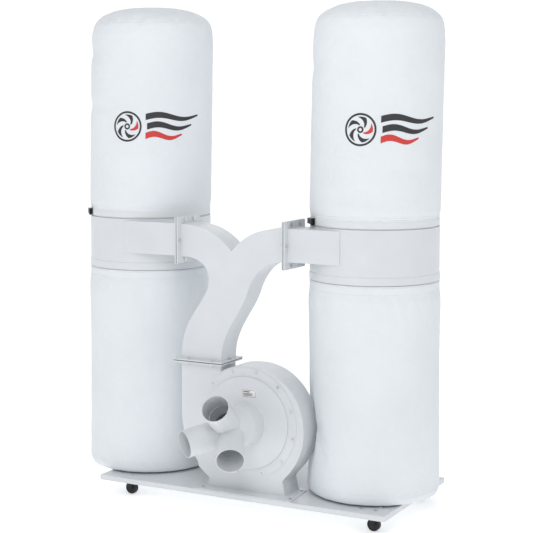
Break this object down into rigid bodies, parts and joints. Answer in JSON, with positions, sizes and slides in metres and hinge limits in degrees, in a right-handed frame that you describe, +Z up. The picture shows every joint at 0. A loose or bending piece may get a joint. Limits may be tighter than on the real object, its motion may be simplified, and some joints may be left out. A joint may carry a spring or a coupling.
{
  "type": "dust collector",
  "caption": "Twin-bag dust collector: a blower on a wheeled base plate feeds a Y duct and a pair of drums with cloth bags above and below.",
  "frame": {"origin": "middle of the machine's footprint, on the floor", "axes": "+Z up, +X along the base plate from the left drum to the right drum, -Y towards the inlet ports at the front"},
  "size_m": [1.536, 0.8802, 1.994],
  "materials": {
    "coated_steel": "light grey powder coat, satin",
    "bag_cloth": "off-white felted filter cloth, matte",
    "strap_webbing": "white woven webbing",
    "zinc_plate": "bright zinc plating",
    "caster_steel": "black enamel",
    "caster_rubber": "matte black rubber",
    "gasket_rubber": "black gasket rubber",
    "motor_alloy": "grey painted die casting",
    "machined_steel": "bare steel",
    "black_plastic": "black moulded plastic",
    "buckle_black": "black enamel",
    "label_film": "plain white label",
    "green_plastic": "green push button",
    "red_plastic": "red push button"
  },
  "bodies": {
    "frame": {"base_plate": "coated_steel", "foot_plate": "coated_steel", "pedestal_sides": "coated_steel", "blower_front_panel": "coated_steel", "blower_back_panel": "coated_steel", "scroll_wall": "coated_steel", "outlet_flange": "coated_steel", "inlet_cover": "coated_steel", "inlet_collar": "coated_steel", "inlet_ports": "coated_steel", "y_duct_front": "coated_steel", "y_duct_back": "coated_steel", "y_duct_left_wall": "coated_steel", "y_duct_right_wall": "coated_steel", "y_duct_crotch_wall": "coated_steel", "y_duct_flanges": "coated_steel", "left_drum": "coated_steel", "right_drum": "coated_steel", "left_drum_duct": "coated_steel", "right_drum_duct": "coated_steel", "rear_posts": "coated_steel", "motor_adapter": "coated_steel", "left_filter_bag": "bag_cloth", "right_filter_bag": "bag_cloth", "left_collection_bag": "bag_cloth", "right_collection_bag": "bag_cloth", "bag_straps": "strap_webbing", "base_bolts": "zinc_plate", "cover_bolts": "zinc_plate", "flange_bolts": "zinc_plate", "adapter_bolts": "zinc_plate", "caster_plates": "caster_steel", "flange_gaskets": "gasket_rubber", "motor_front_bell": "motor_alloy", "motor_frame": "motor_alloy", "motor_rear_bell": "motor_alloy", "stator": "machined_steel", "motor_bearings": "machined_steel", "snap_bands": "machined_steel", "fan_cover": "black_plastic", "switch_box": "black_plastic", "cable_gland": "black_plastic", "buckle_frames": "buckle_black", "data_label": "label_film"},
    "caster_fl": {"caster_fork_fl": "caster_steel"},
    "wheel_fl": {"caster_wheel_fl": "caster_rubber"},
    "caster_fr": {"caster_fork_fr": "caster_steel"},
    "wheel_fr": {"caster_wheel_fr": "caster_rubber"},
    "caster_bl": {"caster_fork_bl": "caster_steel"},
    "wheel_bl": {"caster_wheel_bl": "caster_rubber"},
    "caster_br": {"caster_fork_br": "caster_steel"},
    "wheel_br": {"caster_wheel_br": "caster_rubber"},
    "rotor": {"rotor": "machined_steel", "impeller": "machined_steel", "impeller_bolt": "zinc_plate", "cooling_fan": "black_plastic"},
    "left_lever": {"left_clamp_lever": "buckle_black"},
    "right_lever": {"right_clamp_lever": "buckle_black"},
    "start_button": {"start_button": "green_plastic"},
    "stop_button": {"stop_button": "red_plastic"}
  },
  "joints": [
    {"name": "impeller_spin", "type": "hinge", "parent": "frame", "child": "rotor", "pos_m": [0.084, 0.13008, 0.359], "axis": [0, 1, 0], "continuous": true},
    {"name": "caster_swivel_fl", "type": "hinge", "parent": "frame", "child": "caster_fl", "pos_m": [-0.4775, -0.09992, 0.064], "axis": [0, 0, 1], "continuous": true},
    {"name": "caster_spin_fl", "type": "hinge", "parent": "caster_fl", "child": "wheel_fl", "pos_m": [-0.4635, -0.09992, 0.025], "axis": [0, 1, 0], "continuous": true},
    {"name": "caster_swivel_fr", "type": "hinge", "parent": "frame", "child": "caster_fr", "pos_m": [0.6015, -0.09992, 0.064], "axis": [0, 0, 1], "continuous": true},
    {"name": "caster_spin_fr", "type": "hinge", "parent": "caster_fr", "child": "wheel_fr", "pos_m": [0.6155, -0.09992, 0.025], "axis": [0, 1, 0], "continuous": true},
    {"name": "caster_swivel_bl", "type": "hinge", "parent": "frame", "child": "caster_bl", "pos_m": [-0.4775, 0.36008, 0.064], "axis": [0, 0, 1], "continuous": true},
    {"name": "caster_spin_bl", "type": "hinge", "parent": "caster_bl", "child": "wheel_bl", "pos_m": [-0.4635, 0.36008, 0.025], "axis": [0, 1, 0], "continuous": true},
    {"name": "caster_swivel_br", "type": "hinge", "parent": "frame", "child": "caster_br", "pos_m": [0.6015, 0.36008, 0.064], "axis": [0, 0, 1], "continuous": true},
    {"name": "caster_spin_br", "type": "hinge", "parent": "caster_br", "child": "wheel_br", "pos_m": [0.6155, 0.36008, 0.025], "axis": [0, 1, 0], "continuous": true},
    {"name": "left_lever_hinge", "type": "hinge", "parent": "frame", "child": "left_lever", "pos_m": [-0.68702, -0.05892, 1.149], "axis": [0, 0, 1], "range_deg": [0, 110]},
    {"name": "right_lever_hinge", "type": "hinge", "parent": "frame", "child": "right_lever", "pos_m": [0.33298, -0.05892, 1.149], "axis": [0, 0, 1], "range_deg": [0, 110]},
    {"name": "start_press", "type": "slide", "parent": "frame", "child": "start_button", "axis": [1, 0, 0], "range_m": [0, 0.003], "stiffness_N_per_m": 400, "springref_m": -0.001},
    {"name": "stop_press", "type": "slide", "parent": "frame", "child": "stop_button", "axis": [1, 0, 0], "range_m": [0, 0.004], "stiffness_N_per_m": 400, "springref_m": -0.001}
  ]
}
